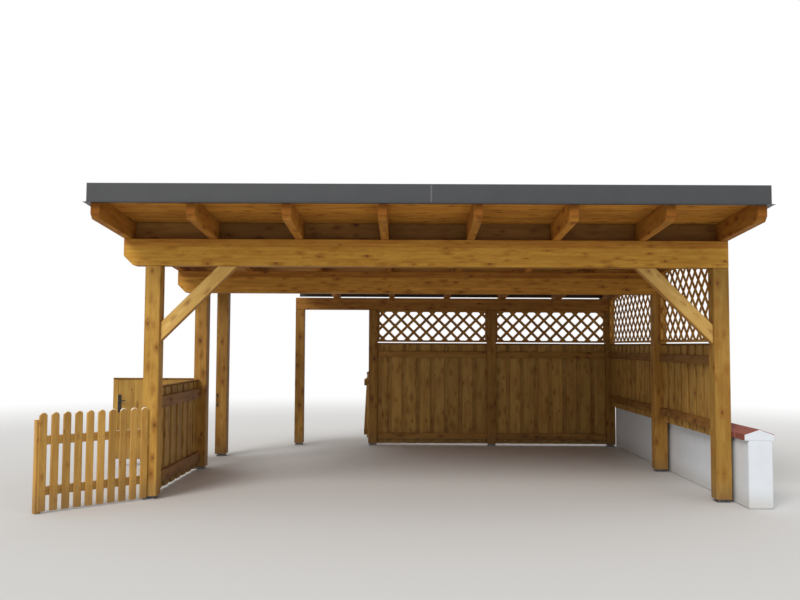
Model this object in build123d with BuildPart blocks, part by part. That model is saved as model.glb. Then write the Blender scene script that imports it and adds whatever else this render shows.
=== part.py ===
from build123d import *
import os
from math import ceil, cos, radians, sin, sqrt, tan

# Timber carport with a lean-to roof, two lattice walls, a low screen, a picket fence and two low gates.
# Millimetres. The origin is the middle of the front left post's shoe, on its underside.
# +X runs along the front to the right, +Y to the back, +Z up.
os.makedirs("parts", exist_ok=True)

# Post rows, measured between post middles
bay_width = 5900
mid_row = 2060
house_row = 3300
rear_row = 4660
door_post_x = 2118
passage_clear = 1037

# Timber sections
post = 160
rear_post = 140
post_arris = 6
beam_width = 160
beam_depth = 280
rear_beam_depth = 190
plate_depth = 100
beam_bevel = 100
beam_arris = 4
brace_depth = 140
brace_thickness = 100
brace_reach = 790
brace_arris = 5
rafter_width = 80
rafter_depth = 200
rafter_count = 8
short_rafters = 2
last_bay_less = 48
rafter_nose = 45
seat_cut = 6

# Roof
front_beam_top = 2690
roof_fall = 4.2
left_reach = 230
front_overhang = 930
rear_overhang = 350
deck_thickness = 24
sheet_thickness = 5
blocking_thickness = 24
fascia_thickness = 30
fascia_height = 185
fascia_lap = 56
fascia_fold = 6
drip_reach = 26
drip_height = 12
drip_lip = 3
rear_fascia_lap = 119

# Rain water
gutter_radius = 62
gutter_wall = 2
gutter_drop = 6
bracket_count = 7
bracket_width = 25
bracket_thickness = 4
bracket_inset = 250
pipe_radius = 38
pipe_wall = 2
pipe_foot = 90
pipe_bend = 70
pipe_stand_off = 22
neck_tail = 120
socket_depth = 45
socket_gap = 0.3
clamp_height = 25
clamp_wall = 2
clamp_stem = 8
clamp_heights = (500, 1500)

# Post shoes
shoe_height = 30
shoe_plate = 130
shoe_plate_thickness = 8
shoe_head = 110
shoe_head_thickness = 5
shoe_core = 60
shoe_hole_spacing = 90
shoe_hole_radius = 6

# Board walls and lattice
board_width = 165
board_pitch = 233
board_thickness = 20
rail_thickness = 45
rail_height = 95
boards_inset = 15
boards_foot = 30
boards_head = 1630
lower_rail_foot = 100
upper_rail_foot = 1400
lattice_gap = 15
lattice_head_gap = 10
lattice_frame = 30
lattice_frame_depth = 30
slat_width = 42
slat_thickness = 9
slat_pitch = 200
right_boards_foot = 636
right_lower_rail_foot = 722
screen_foot = 25
screen_head = 1140
screen_rail_height = 125
screen_rail_feet = (105, 905)

# Low wall beside the right post row
wall_gap = 40
wall_front_reach = 320
wall_thickness = 240
wall_height = 670
coping_overhang = 20
coping_edge = 60
coping_rise = 50

# Picket fence
fence_angle = 44
picket_count = 10
picket_width = 75
picket_pitch = 113
picket_thickness = 20
picket_foot = 20
picket_head = 945
fence_rail_feet = (165, 638)
fence_rail_height = 85
fence_rail_thickness = 30
fence_post = 60
fence_post_height = 880
fence_post_reach = 20
fence_start_x = -16
fence_first_gap = 8

# Gates
gate_foot = 100
gate_head = 1150
gate_gap = 10
gate_grooves = 5
gate_edge_board = 65
gate_board_width = 211
gate_groove = 6
gate_groove_depth = 5
gate_rail_thickness = 45
gate_rail_height = 100
gate_rail_feet = (150, 940)
gate_brace_width = 90
gate_brace_setback = 90
pin_radius = 6
pin_clearance = 0.5
pin_out = 17
pin_inset = 5
eye_wall = 4.5
strap_length = 420
strap_width = 40
strap_thickness = 4
hook_plate_width = 60
hook_plate_height = 110
hook_lug_height = 18
hook_lug_gap = 1
lock_height = 230
lock_width = 40
lock_thickness = 4
lock_foot = 702
lock_edge = 66
lever_drop = 77
lever_rose = 14
lever_length = 90
lever_radius = 7
lever_bend = 14
lever_stand_off = 42
strike_width = 24
strike_height = 190
strike_thickness = 3
strike_foot = 700

# Places worked out from the sizes above
slope = tan(radians(roof_fall))
post_half = post / 2
rear_half = rear_post / 2
roof_left = -post_half - left_reach
roof_right = bay_width + post_half
roof_front = -post_half - front_overhang
roof_back = rear_row + rear_half + rear_overhang
rafter_rise = rafter_depth / cos(radians(roof_fall))
deck_rise = deck_thickness / cos(radians(roof_fall))
sheet_rise = sheet_thickness / cos(radians(roof_fall))
rear_right_x = roof_right - rear_half
rear_centre_x = (door_post_x + rear_right_x) / 2
rear_left_x = door_post_x - rear_post - passage_clear
house_corner_x = rear_left_x - rear_half
house_wall_y = house_row + post_half
rear_face_y = rear_row + rear_half
rafter_pitch = (roof_right - roof_left - rafter_width + last_bay_less) / (rafter_count - 1)
rafter_places = [roof_left + rafter_width / 2 + i * rafter_pitch for i in range(rafter_count - 1)]
rafter_places.append(roof_right - rafter_width / 2)


def beam_top(y):
    """Height of a beam's top at the row y, on the line that falls with the roof."""
    return front_beam_top - slope * y


def rafter_foot(y):
    """Height of the rafters' underside at y."""
    return beam_top(y) - seat_cut


def rafter_top(y):
    return rafter_foot(y) + rafter_rise


def save(piece, name):
    piece.part.label = name
    export_step(piece.part, f"parts/{name}.step")


def roof_layer(front, back, underside, rise):
    """Outline of a layer that lies along the fall, drawn in a plane whose X is the row's Y."""
    with BuildLine() as outline:
        Polyline(
            (front, underside(front)),
            (back, underside(back)),
            (back, underside(back) + rise),
            (front, underside(front) + rise),
            close=True,
        )
    make_face(outline.edges())


def upright(x, y, size, head):
    """One post standing on its shoe."""
    with BuildSketch(Plane.XY.offset(shoe_height)) as section:
        with Locations((x, y)):
            Rectangle(size, size)
        chamfer(section.vertices(), post_arris)
    extrude(section.sketch, amount=head - shoe_height)


# Posts
front_head = beam_top(0) - beam_depth
mid_head = beam_top(mid_row) - beam_depth
house_head = beam_top(house_row) - plate_depth
rear_head = beam_top(rear_row) - rear_beam_depth

with BuildPart() as post_front_left:
    upright(0, 0, post, front_head)
save(post_front_left, "post_front_left")

with BuildPart() as post_front_right:
    upright(bay_width, 0, post, front_head)
save(post_front_right, "post_front_right")

with BuildPart() as post_mid_left:
    upright(0, mid_row, post, mid_head)
save(post_mid_left, "post_mid_left")

with BuildPart() as post_mid_right:
    upright(bay_width, mid_row, post, mid_head)
save(post_mid_right, "post_mid_right")

with BuildPart() as post_house:
    upright(0, house_row, post, house_head)
save(post_house, "post_house")

rear_posts = (rear_left_x, door_post_x, rear_centre_x, rear_right_x)
with BuildPart() as posts_rear:
    for x in rear_posts:
        upright(x, rear_row, rear_post, rear_head)
save(posts_rear, "posts_rear")

# Steel shoes: a drilled base plate, a core and a head plate under each post
wide_feet = [(0, 0), (bay_width, 0), (0, mid_row), (bay_width, mid_row), (0, house_row)]
feet = wide_feet + [(x, rear_row) for x in rear_posts]
with BuildPart() as post_shoes:
    with BuildSketch():
        with Locations(*feet):
            Rectangle(shoe_plate, shoe_plate)
            with GridLocations(shoe_hole_spacing, shoe_hole_spacing, 2, 2):
                Circle(shoe_hole_radius, mode=Mode.SUBTRACT)
    extrude(amount=shoe_plate_thickness)
    with BuildSketch(Plane.XY.offset(shoe_plate_thickness)):
        with Locations(*feet):
            Rectangle(shoe_core, shoe_core)
    extrude(amount=shoe_height - shoe_plate_thickness - shoe_head_thickness)
    with BuildSketch(Plane.XY.offset(shoe_height - shoe_head_thickness)):
        with Locations(*feet):
            Rectangle(shoe_head, shoe_head)
    extrude(amount=shoe_head_thickness)
save(post_shoes, "post_shoes")


# Beams: the front and middle ones reach past the left row and have a bevelled lower corner there
def beam(y, left, right, depth, width, bevel):
    top = beam_top(y)
    with BuildSketch(Plane.XZ.offset(-y)) as outline:
        with Locations(((left + right) / 2, top)):
            Rectangle(right - left, depth, align=(Align.CENTER, Align.MAX))
        if bevel:
            corner = outline.vertices().group_by(Axis.X)[0].sort_by(Axis.Y)[0]
            chamfer(corner, bevel)
    timber = extrude(outline.sketch, amount=width / 2, both=True)
    chamfer(timber.edges().filter_by(Axis.X), beam_arris)


with BuildPart() as cross_beams:
    for row in (0, mid_row):
        beam(row, roof_left, roof_right, beam_depth, beam_width, beam_bevel)
save(cross_beams, "cross_beams")

with BuildPart() as beam_rear:
    beam(rear_row, house_corner_x, roof_right, rear_beam_depth, rear_post, 0)
save(beam_rear, "beam_rear")

with BuildPart() as wall_plate:
    beam(house_row, roof_left, house_corner_x, plate_depth, beam_width, 0)
save(wall_plate, "wall_plate")

# Corner braces of the front frame, at 45 degrees
brace_inner = brace_reach - brace_depth * sqrt(2)
with BuildPart() as braces:
    with BuildSketch(Plane.XZ):
        with BuildLine():
            Polyline(
                (post_half, front_head - brace_reach),
                (post_half + brace_reach, front_head),
                (post_half + brace_inner, front_head),
                (post_half, front_head - brace_inner),
                close=True,
            )
        make_face()
    extrude(amount=brace_thickness / 2, both=True)
    lower_edges = braces.edges().filter_by(Plane.XZ).group_by(SortBy.LENGTH)[-1]
    chamfer(lower_edges, brace_arris)
    mirror(about=Plane.YZ.offset(bay_width / 2))
save(braces, "braces")


# Rafters: plumb-cut, with a bevelled nose and a level seat cut over each beam. They stand at one
# pitch from the left, and the last bay on the right is a little narrower.
def rafter_set(places, back, seats):
    """seats holds the row and the width of each beam that the rafters lie on."""
    with BuildSketch(*[Plane.YZ.offset(x - rafter_width / 2) for x in places]) as outline:
        roof_layer(roof_front, back, rafter_foot, rafter_rise)
        for row, width in seats:
            with Locations((row, beam_top(row))):
                Rectangle(width, rafter_depth / 2, align=(Align.CENTER, Align.MAX), mode=Mode.SUBTRACT)
        nose = outline.vertices().group_by(Axis.X)[0].sort_by(Axis.Y)[0]
        chamfer(nose, rafter_nose)
    extrude(outline.sketch, amount=rafter_width)


cross_seats = [(0, beam_width), (mid_row, beam_width)]
with BuildPart() as rafters:
    rafter_set(rafter_places[:short_rafters], house_wall_y, cross_seats + [(house_row, beam_width)])
    rafter_set(rafter_places[short_rafters:], roof_back, cross_seats + [(rear_row, rear_post)])
save(rafters, "rafters")

# Blocking boards close the gaps between the rafters, flush with the back of the front beam
blocking_back = beam_width / 2
blocking_front = blocking_back - blocking_thickness
with BuildPart() as blocking:
    for place, next_place in zip(rafter_places, rafter_places[1:]):
        with BuildSketch(Plane.YZ.offset(place + rafter_width / 2)) as board:
            with BuildLine():
                Polyline(
                    (blocking_front, beam_top(0)),
                    (blocking_back, beam_top(0)),
                    (blocking_back, rafter_top(blocking_back)),
                    (blocking_front, rafter_top(blocking_front)),
                    close=True,
                )
            make_face()
        extrude(board.sketch, amount=next_place - place - rafter_width)
save(blocking, "blocking")


# Roof deck and roof sheet, cut out at the rear left for the corner of the house
def roof_cover(underside, rise):
    with BuildSketch(Plane.YZ.offset(roof_left)) as section:
        roof_layer(roof_front, roof_back, underside, rise)
    extrude(section.sketch, amount=roof_right - roof_left)
    with BuildSketch() as corner:
        with Locations((roof_left, house_wall_y)):
            Rectangle(
                house_corner_x - roof_left, roof_back - house_wall_y, align=(Align.MIN, Align.MIN)
            )
    extrude(corner.sketch, amount=front_beam_top * 2, mode=Mode.SUBTRACT)


def deck_top(y):
    return rafter_top(y) + deck_rise


with BuildPart() as roof_deck:
    roof_cover(rafter_top, deck_rise)
save(roof_deck, "roof_deck")

with BuildPart() as roof_sheet:
    roof_cover(deck_top, sheet_rise)
save(roof_sheet, "roof_sheet")


# Fascias stand above the roof as upstands. The sheet metal around them has a folded top edge and
# ends in a drip lip, which runs around the front corners and back along both sides.
def fascia_foot(y):
    return rafter_top(y) - fascia_lap


def fascia_profile(face, out, foot):
    """Section of a fascia. face is its inner side, and out is 1 or -1, the way it faces."""
    outer = face + out * fascia_thickness
    with BuildLine() as outline:
        fold = FilletPolyline(
            (face, foot + fascia_height),
            (outer, foot + fascia_height),
            (outer, foot + drip_height),
            radius=fascia_fold,
        )
        Polyline(
            fold @ 1,
            (outer + out * drip_reach, foot + drip_lip),
            (outer + out * drip_reach, foot),
            (face, foot),
            fold @ 0,
        )
    make_face(outline.edges())


fascia_base = fascia_foot(roof_front)
fascia_left = roof_left - fascia_thickness
fascia_right = roof_right + fascia_thickness
with BuildPart() as fascia_front:
    with BuildSketch(Plane.YZ.offset(fascia_left)) as section:
        fascia_profile(roof_front, -1, fascia_base)
    extrude(section.sketch, amount=fascia_right - fascia_left)
    for x, side in ((fascia_left, -1), (fascia_right, 1)):
        with BuildSketch(Plane.XZ.offset(-roof_front)) as lip:
            with BuildLine():
                Polyline(
                    (x, fascia_base),
                    (x + side * drip_reach, fascia_base),
                    (x + side * drip_reach, fascia_base + drip_lip),
                    (x, fascia_base + drip_height),
                    close=True,
                )
            make_face()
        extrude(lip.sketch, amount=fascia_thickness)
        with BuildSketch(Plane.XY.offset(fascia_base)) as foot:
            with Locations((x + side * drip_reach / 2, roof_front - fascia_thickness - drip_reach / 2)):
                Rectangle(drip_reach, drip_reach)
        extrude(foot.sketch, amount=drip_lip)
save(fascia_front, "fascia_front")

along_roof = (0, cos(radians(roof_fall)), -sin(radians(roof_fall)))
with BuildPart() as fascia_sides:
    for face, out, back in ((roof_left, -1, house_wall_y), (roof_right, 1, roof_back)):
        with BuildSketch(Plane.XZ.offset(-roof_front)) as section:
            fascia_profile(face, out, fascia_base)
        extrude(section.sketch, amount=(back - roof_front) / cos(radians(roof_fall)), dir=along_roof)
save(fascia_sides, "fascia_sides")

rear_fascia_top = deck_top(roof_back)
rear_fascia_foot = rafter_top(roof_back) - rear_fascia_lap
with BuildPart() as fascia_rear:
    with BuildSketch(Plane.XY.offset(rear_fascia_foot)):
        with Locations((house_corner_x, roof_back)):
            Rectangle(fascia_right - house_corner_x, fascia_thickness, align=(Align.MIN, Align.MIN))
    extrude(amount=rear_fascia_top - rear_fascia_foot)
save(fascia_rear, "fascia_rear")

# Half-round gutter along the low edge, held by brackets on the rear fascia
gutter_y = roof_back + fascia_thickness + bracket_thickness + gutter_radius
gutter_rim = rear_fascia_top - gutter_drop
gutter_left = house_corner_x
gutter_right = fascia_right
with BuildPart() as gutter:
    with BuildSketch(Plane.YZ.offset(gutter_left)):
        with Locations((gutter_y, gutter_rim)):
            Circle(gutter_radius)
            Circle(gutter_radius - gutter_wall, mode=Mode.SUBTRACT)
            Rectangle(
                3 * gutter_radius,
                3 * gutter_radius,
                align=(Align.CENTER, Align.MIN),
                mode=Mode.SUBTRACT,
            )
    extrude(amount=gutter_right - gutter_left)
    with BuildSketch(Plane.YZ.offset(gutter_left), Plane.YZ.offset(gutter_right - gutter_wall)):
        with Locations((gutter_y, gutter_rim)):
            Circle(gutter_radius - gutter_wall / 2)
            Rectangle(
                3 * gutter_radius,
                3 * gutter_radius,
                align=(Align.CENTER, Align.MIN),
                mode=Mode.SUBTRACT,
            )
    extrude(amount=gutter_wall)
    with Locations((rear_right_x, gutter_y, gutter_rim - gutter_radius)):
        Cylinder(pipe_radius - pipe_wall, 4 * gutter_wall, mode=Mode.SUBTRACT)
save(gutter, "gutter")

bracket_pitch = (gutter_right - gutter_left - 2 * bracket_inset) / (bracket_count - 1)
bracket_places = [gutter_left + bracket_inset + i * bracket_pitch for i in range(bracket_count)]
with BuildPart() as gutter_brackets:
    with BuildSketch(*[Plane.YZ.offset(x - bracket_width / 2) for x in bracket_places]):
        with Locations((gutter_y, gutter_rim)):
            Circle(gutter_radius + bracket_thickness)
            Circle(gutter_radius, mode=Mode.SUBTRACT)
            Rectangle(
                3 * gutter_radius,
                3 * gutter_radius,
                align=(Align.CENTER, Align.MIN),
                mode=Mode.SUBTRACT,
            )
    extrude(amount=bracket_width)
save(gutter_brackets, "gutter_brackets")

# Swan neck from the gutter's outlet back to the rear right post
pipe_y = rear_face_y + pipe_stand_off + pipe_radius
pipe_top = gutter_rim - gutter_radius
upper_elbow = rafter_foot(roof_back) - pipe_radius
lower_elbow = upper_elbow - (gutter_y - pipe_y)
neck_end = lower_elbow - neck_tail
with BuildPart() as swan_neck:
    with BuildLine() as route:
        FilletPolyline(
            (rear_right_x, gutter_y, pipe_top),
            (rear_right_x, gutter_y, upper_elbow),
            (rear_right_x, pipe_y, lower_elbow),
            (rear_right_x, pipe_y, neck_end),
            radius=pipe_bend,
        )
    with BuildSketch(Plane.XY.offset(pipe_top)):
        with Locations((rear_right_x, gutter_y)):
            Circle(pipe_radius)
            Circle(pipe_radius - pipe_wall, mode=Mode.SUBTRACT)
    sweep()
save(swan_neck, "swan_neck")

# Down pipe, with a socket around the swan neck's end
socket_radius = pipe_radius + socket_gap
with BuildPart() as downpipe:
    with BuildSketch(Plane.XY.offset(pipe_foot)):
        with Locations((rear_right_x, pipe_y)):
            Circle(pipe_radius)
            Circle(pipe_radius - pipe_wall, mode=Mode.SUBTRACT)
    extrude(amount=neck_end - pipe_foot)
    with BuildSketch(Plane.XY.offset(neck_end - pipe_wall)):
        with Locations((rear_right_x, pipe_y)):
            Circle(socket_radius + pipe_wall)
            Circle(pipe_radius - pipe_wall, mode=Mode.SUBTRACT)
    extrude(amount=pipe_wall)
    with BuildSketch(Plane.XY.offset(neck_end)):
        with Locations((rear_right_x, pipe_y)):
            Circle(socket_radius + pipe_wall)
            Circle(socket_radius, mode=Mode.SUBTRACT)
    extrude(amount=socket_depth)
save(downpipe, "downpipe")

# Clamps hold the pipe off the post
with BuildPart() as pipe_clamps:
    for height in clamp_heights:
        with BuildSketch(Plane.XY.offset(height)):
            with Locations((rear_right_x, rear_face_y)):
                Rectangle(clamp_stem, pipe_stand_off + pipe_radius, align=(Align.CENTER, Align.MIN))
            with Locations((rear_right_x, pipe_y)):
                Circle(pipe_radius + clamp_wall)
                Circle(pipe_radius, mode=Mode.SUBTRACT)
        extrude(amount=clamp_height)
save(pipe_clamps, "pipe_clamps")


# Walls: boards in two staggered layers behind rails, and lattice above them.
# A wall is drawn on a plane whose X starts at the first post's face and runs along the wall, with Z up.
# outward is 1 where the plane's normal points out of the carport, and -1 where it points in.
def board_wall(plane, outward, length, foot, head):
    count = round((length - board_width) / board_pitch) + 1
    pitch = (length - board_width) / (count - 1)
    for layer, boards in ((0, count), (1, count - 1)):
        with BuildSketch(plane.offset(outward * layer * board_thickness)) as section:
            with Locations((length / 2, (foot + head) / 2)):
                with GridLocations(pitch, 0, boards, 1):
                    Rectangle(board_width, head - foot)
        extrude(section.sketch, amount=outward * board_thickness)


def wall_rails(plane, outward, length, rail_feet, height=rail_height):
    with BuildSketch(plane) as section:
        for foot in rail_feet:
            with Locations((length / 2, foot)):
                Rectangle(length, height, align=(Align.CENTER, Align.MIN))
    extrude(section.sketch, amount=-outward * rail_thickness)


def panel_face(length, foot, near_head, far_head, inset=0, mode=Mode.ADD):
    """A panel's outline, whose head runs straight from its near end to its far end."""
    fall = (near_head - far_head) / length
    near = near_head - inset * (fall + sqrt(1 + fall**2))
    far = far_head + inset * (fall - sqrt(1 + fall**2))
    with BuildLine() as outline:
        Polyline(
            (inset, foot + inset),
            (length - inset, foot + inset),
            (length - inset, far),
            (inset, near),
            close=True,
        )
    make_face(outline.edges(), mode=mode)


def lattice(plane, outward, length, foot, near_head, far_head):
    height = near_head - foot
    slat_length = 2 * height * sqrt(2)
    slats = 2 * ceil((length + height) / slat_pitch / 2) + 1
    for layer, lean in ((0, 45), (1, -45)):
        with BuildSketch(plane.offset(-outward * layer * slat_thickness)) as section:
            with Locations((length / 2, foot + height / 2)):
                with GridLocations(slat_pitch, 0, slats, 1):
                    Rectangle(slat_width, slat_length, rotation=lean)
            panel_face(length, foot, near_head, far_head, mode=Mode.INTERSECT)
        extrude(section.sketch, amount=-outward * slat_thickness)
    with BuildSketch(plane) as frame:
        panel_face(length, foot, near_head, far_head)
        panel_face(length, foot, near_head, far_head, lattice_frame, Mode.SUBTRACT)
    extrude(frame.sketch, amount=-outward * lattice_frame_depth)


board_layers = 2 * board_thickness
lattice_foot = boards_head + lattice_gap

# Rear wall, in two bays between the door post and the rear right post
rear_plane_y = rear_face_y - boards_inset - board_layers
rear_bay = rear_centre_x - door_post_x - rear_post
rear_planes = [
    Plane(origin=(x + rear_half, rear_plane_y, 0), x_dir=(1, 0, 0), z_dir=(0, -1, 0))
    for x in (door_post_x, rear_centre_x)
]
with BuildPart() as rear_boards:
    for plane in rear_planes:
        board_wall(plane, -1, rear_bay, boards_foot, boards_head)
save(rear_boards, "rear_boards")

with BuildPart() as rear_rails:
    for plane in rear_planes:
        wall_rails(plane, -1, rear_bay, (lower_rail_foot, upper_rail_foot))
save(rear_rails, "rear_rails")

with BuildPart() as rear_lattice:
    for plane in rear_planes:
        lattice(plane, -1, rear_bay, lattice_foot, rear_head, rear_head)
save(rear_lattice, "rear_lattice")


def side_plane(x, y):
    """A wall plane that runs to the back from the given point, with its normal to the right."""
    return Plane(origin=(x, y, 0), x_dir=(0, 1, 0), z_dir=(1, 0, 0))


# Right wall, in two bays from the front post to the rear post
right_plane_x = roof_right - boards_inset - board_layers
right_front_bay = mid_row - post
right_rear_bay = rear_row - rear_half - mid_row - post_half
right_front_plane = side_plane(right_plane_x, post_half)
right_rear_plane = side_plane(right_plane_x, mid_row + post_half)
right_bays = ((right_front_plane, right_front_bay), (right_rear_plane, right_rear_bay))
with BuildPart() as right_boards:
    for plane, bay in right_bays:
        board_wall(plane, 1, bay, right_boards_foot, boards_head)
save(right_boards, "right_boards")

with BuildPart() as right_rails:
    for plane, bay in right_bays:
        wall_rails(plane, 1, bay, (right_lower_rail_foot, upper_rail_foot))
save(right_rails, "right_rails")

# These panels close the wall up to the last rafter, so their heads fall with the roof
with BuildPart() as right_lattice:
    for plane, bay in right_bays:
        near_head = rafter_foot(plane.origin.Y) - lattice_head_gap
        lattice(plane, 1, bay, lattice_foot, near_head, near_head - slope * bay)
save(right_lattice, "right_lattice")

# Low screen between the two left posts
left_plane = side_plane(-post_half + boards_inset + board_layers, post_half)
left_bay = mid_row - post
with BuildPart() as left_boards:
    board_wall(left_plane, -1, left_bay, screen_foot, screen_head)
save(left_boards, "left_boards")

with BuildPart() as left_rails:
    wall_rails(left_plane, -1, left_bay, screen_rail_feet, screen_rail_height)
save(left_rails, "left_rails")

# Low plastered wall a little off the right posts. Its coping slopes both ways and reaches the posts.
wall_front = -post_half - wall_front_reach
wall_back = rear_face_y
wall_left = roof_right + wall_gap
with BuildPart() as low_wall:
    with BuildSketch():
        with Locations((wall_left, wall_front)):
            Rectangle(wall_thickness, wall_back - wall_front, align=(Align.MIN, Align.MIN))
    extrude(amount=wall_height)
save(low_wall, "low_wall")

coping_right = wall_left + wall_thickness + coping_overhang
with BuildPart() as wall_coping:
    with BuildSketch(Plane.XZ.offset(-wall_back)):
        with BuildLine():
            Polyline(
                (roof_right, wall_height),
                (coping_right, wall_height),
                (coping_right, wall_height + coping_edge),
                ((roof_right + coping_right) / 2, wall_height + coping_edge + coping_rise),
                (roof_right, wall_height + coping_edge),
                close=True,
            )
        make_face()
    extrude(amount=wall_back - wall_front)
save(wall_coping, "wall_coping")

# Picket fence, running forward and out from the front left post
fence_run = (-cos(radians(fence_angle)), -sin(radians(fence_angle)), 0)
fence_back = (-sin(radians(fence_angle)), cos(radians(fence_angle)), 0)
fence_plane = Plane(origin=(fence_start_x, -post_half, 0), x_dir=fence_run, z_dir=fence_back)
fence_length = fence_first_gap + (picket_count - 1) * picket_pitch + picket_width
with BuildPart() as fence_pickets:
    with BuildSketch(fence_plane):
        for i in range(picket_count):
            with Locations((fence_first_gap + picket_width / 2 + i * picket_pitch, picket_foot)):
                Rectangle(
                    picket_width,
                    picket_head - picket_width / 2 - picket_foot,
                    align=(Align.CENTER, Align.MIN),
                )
            with Locations(
                (fence_first_gap + picket_width / 2 + i * picket_pitch, picket_head - picket_width / 2)
            ):
                Circle(picket_width / 2)
    extrude(amount=-picket_thickness)
save(fence_pickets, "fence_pickets")

with BuildPart() as fence_rails:
    with BuildSketch(fence_plane):
        for foot in fence_rail_feet:
            with Locations((-post_half, foot)):
                Rectangle(
                    fence_length + post_half + fence_post_reach - fence_post,
                    fence_rail_height,
                    align=(Align.MIN, Align.MIN),
                )
    extrude(amount=fence_rail_thickness)
    with BuildSketch(Plane.XY):
        with Locations((0, -post_half)):
            Rectangle(2 * post, post, align=(Align.CENTER, Align.MIN))
    extrude(amount=picket_head, mode=Mode.SUBTRACT)
save(fence_rails, "fence_rails")

with BuildPart() as fence_end_post:
    with BuildSketch(fence_plane):
        with Locations((fence_length + fence_post_reach, 0)):
            Rectangle(fence_post, fence_post_height, align=(Align.MAX, Align.MIN))
    extrude(amount=fence_post)
save(fence_end_post, "fence_end_post")

# Gates, drawn open. A gate's plane has its origin on the hinge pin, X along the leaf and Z up.
# inward is 1 where the plane's normal points from the leaf's outer face to its inner face.
side_pin = (-post_half - pin_out, mid_row + post_half - pin_inset, 0)
side_gate = Plane(origin=side_pin, x_dir=(-1, 0, 0), z_dir=(0, 1, 0))
side_clear = house_row - mid_row - post
rear_pin = (door_post_x - rear_half + pin_inset, rear_face_y + pin_out, 0)
rear_gate = Plane(origin=rear_pin, x_dir=(0, 1, 0), z_dir=(1, 0, 0))
leaf_start = pin_inset + gate_gap
eye_radius = pin_radius + pin_clearance + eye_wall


def gate_boarding(plane, inward, clear):
    width = clear - 2 * gate_gap
    with BuildSketch(plane.offset(inward * pin_out)) as face:
        with Locations((leaf_start + width / 2, (gate_foot + gate_head) / 2)):
            Rectangle(width, gate_head - gate_foot)
    extrude(face.sketch, amount=inward * board_thickness)
    with BuildSketch(plane.offset(inward * pin_out)) as grooves:
        for i in range(gate_grooves):
            groove_x = leaf_start + width - gate_edge_board - i * gate_board_width
            with Locations((groove_x, (gate_foot + gate_head) / 2)):
                Rectangle(gate_groove, gate_head - gate_foot)
    extrude(grooves.sketch, amount=inward * gate_groove_depth, mode=Mode.SUBTRACT)


def gate_frame(plane, inward, clear):
    width = clear - 2 * gate_gap
    low, high = gate_rail_feet
    with BuildSketch(plane.offset(inward * (pin_out + board_thickness))) as section:
        for foot in gate_rail_feet:
            with Locations((leaf_start + width / 2, foot)):
                Rectangle(width, gate_rail_height, align=(Align.CENTER, Align.MIN))
        with BuildLine():
            Polyline(
                (leaf_start, low + gate_rail_height / 2),
                (leaf_start + gate_brace_width, low + gate_rail_height / 2),
                (leaf_start + width - gate_brace_setback, high + gate_rail_height / 2),
                (leaf_start + width - gate_brace_setback - gate_brace_width, high + gate_rail_height / 2),
                close=True,
            )
        make_face()
    extrude(section.sketch, amount=inward * gate_rail_thickness)


def strap_feet():
    return [foot + (gate_rail_height - strap_width) / 2 for foot in gate_rail_feet]


def gate_straps(plane, inward):
    """Cranked straps on the leaf's outer face, each with an eye around the pin."""
    for foot in strap_feet():
        level = Plane(
            origin=plane.origin + Vector(0, 0, foot), x_dir=plane.x_dir, z_dir=(0, 0, 1)
        )
        side = inward * (1 if level.y_dir.dot(plane.z_dir) > 0 else -1)
        with BuildSketch(level) as section:
            with BuildLine():
                Polyline(
                    (0, side * (eye_radius - strap_thickness)),
                    (eye_radius, side * (eye_radius - strap_thickness)),
                    (eye_radius + leaf_start, side * (pin_out - strap_thickness)),
                    (strap_length, side * (pin_out - strap_thickness)),
                    (strap_length, side * pin_out),
                    (eye_radius + leaf_start, side * pin_out),
                    (eye_radius, side * eye_radius),
                    (0, side * eye_radius),
                    close=True,
                )
            make_face()
            Circle(eye_radius)
            Circle(pin_radius + pin_clearance, mode=Mode.SUBTRACT)
        extrude(section.sketch, amount=strap_width)


def gate_hooks(plane, face_normal, along_post):
    """Pins on lugs and plates that are fixed to the post's outer face."""
    for foot in strap_feet():
        lug_foot = foot - hook_lug_gap - hook_lug_height
        with BuildSketch(Plane.XY.offset(lug_foot)) as pin:
            with Locations((plane.origin.X, plane.origin.Y)):
                Circle(pin_radius)
        extrude(pin.sketch, amount=hook_lug_height + hook_lug_gap + strap_width + pin_radius)
        level = Plane(
            origin=plane.origin + Vector(0, 0, lug_foot), x_dir=along_post, z_dir=(0, 0, 1)
        )
        side = 1 if level.y_dir.dot(Vector(*face_normal)) > 0 else -1
        with BuildSketch(level) as lug:
            with Locations((0, -side * pin_out / 2)):
                Rectangle(2 * pin_radius, pin_out)
            Circle(pin_radius)
        extrude(lug.sketch, amount=hook_lug_height)
        with BuildSketch(level.offset(hook_lug_height - hook_plate_height)) as face:
            with Locations((hook_plate_width / 2 - pin_inset, side * (strap_thickness / 2 - pin_out))):
                Rectangle(hook_plate_width, strap_thickness)
        extrude(face.sketch, amount=hook_plate_height)


with BuildPart() as side_gate_boards:
    gate_boarding(side_gate, 1, side_clear)
save(side_gate_boards, "side_gate_boards")

with BuildPart() as side_gate_frame:
    gate_frame(side_gate, 1, side_clear)
save(side_gate_frame, "side_gate_frame")

with BuildPart() as side_gate_straps:
    gate_straps(side_gate, 1)
save(side_gate_straps, "side_gate_straps")

with BuildPart() as rear_gate_boards:
    gate_boarding(rear_gate, -1, passage_clear)
save(rear_gate_boards, "rear_gate_boards")

with BuildPart() as rear_gate_frame:
    gate_frame(rear_gate, -1, passage_clear)
save(rear_gate_frame, "rear_gate_frame")

with BuildPart() as rear_gate_straps:
    gate_straps(rear_gate, -1)
save(rear_gate_straps, "rear_gate_straps")

with BuildPart() as hinge_hooks:
    gate_hooks(side_gate, (-1, 0, 0), (0, -1, 0))
    gate_hooks(rear_gate, (0, 1, 0), (1, 0, 0))
save(hinge_hooks, "hinge_hooks")

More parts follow.
